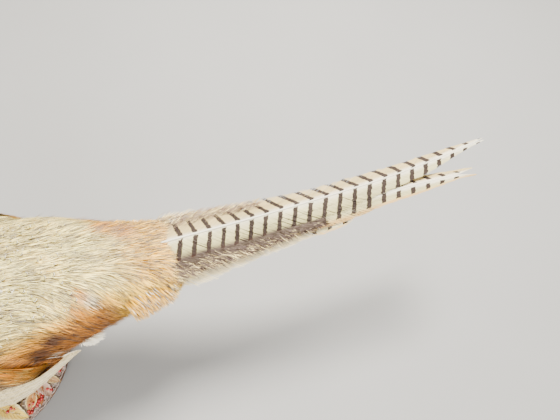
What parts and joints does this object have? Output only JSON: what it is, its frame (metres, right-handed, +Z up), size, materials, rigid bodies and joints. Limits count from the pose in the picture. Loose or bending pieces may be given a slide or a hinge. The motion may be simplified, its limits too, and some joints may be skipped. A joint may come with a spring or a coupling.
{
  "type": "taxidermy pheasant",
  "caption": "Cock pheasant mounted standing on a round board with dried leaves, wings folded and long barred tail held level.",
  "frame": {"origin": "middle of the board's underside", "axes": "+X from the tail towards the head, +Y to the bird's left, +Z up"},
  "size_m": [0.8655, 0.2527, 0.4694],
  "materials": {
    "pale_plumage": "matte",
    "body_plumage": "matte",
    "neck_plumage": "satin",
    "wing_plumage": "matte",
    "tail_plumage": "matte",
    "leg_horn": "satin",
    "bill_horn": "satin",
    "face_skin": "matte",
    "eye_glass": "gloss",
    "board_wood": "satin",
    "groundwork": "matte"
  },
  "bodies": {
    "root": {"base_board": "board_wood", "groundwork": "groundwork", "rump": "pale_plumage", "trunk": "body_plumage", "neck_lower": "neck_plumage", "neck_upper": "neck_plumage", "head": "neck_plumage", "bill_upper": "bill_horn", "bill_lower": "bill_horn", "eye_left": "eye_glass", "eye_right": "eye_glass", "wattle_left": "face_skin", "wattle_right": "face_skin", "wing_left": "wing_plumage", "wing_right": "wing_plumage", "primaries_left": "wing_plumage", "primaries_right": "wing_plumage", "thigh_left": "body_plumage", "thigh_right": "body_plumage", "foot_left": "leg_horn", "foot_right": "leg_horn", "shank_left": "leg_horn", "shank_right": "leg_horn", "tail_feather_1_right": "tail_plumage", "tail_feather_1_left": "tail_plumage", "tail_feather_2_left": "tail_plumage", "tail_feather_2_right": "tail_plumage", "tail_feather_3_left": "tail_plumage", "tail_feather_3_right": "tail_plumage", "tail_feather_4_left": "tail_plumage", "tail_feather_4_right": "tail_plumage", "tail_feather_5_left": "tail_plumage", "tail_feather_5_right": "tail_plumage", "tail_feather_6_left": "tail_plumage", "tail_feather_6_right": "tail_plumage", "tail_coverts_under": "pale_plumage"}
  },
  "joints": []
}
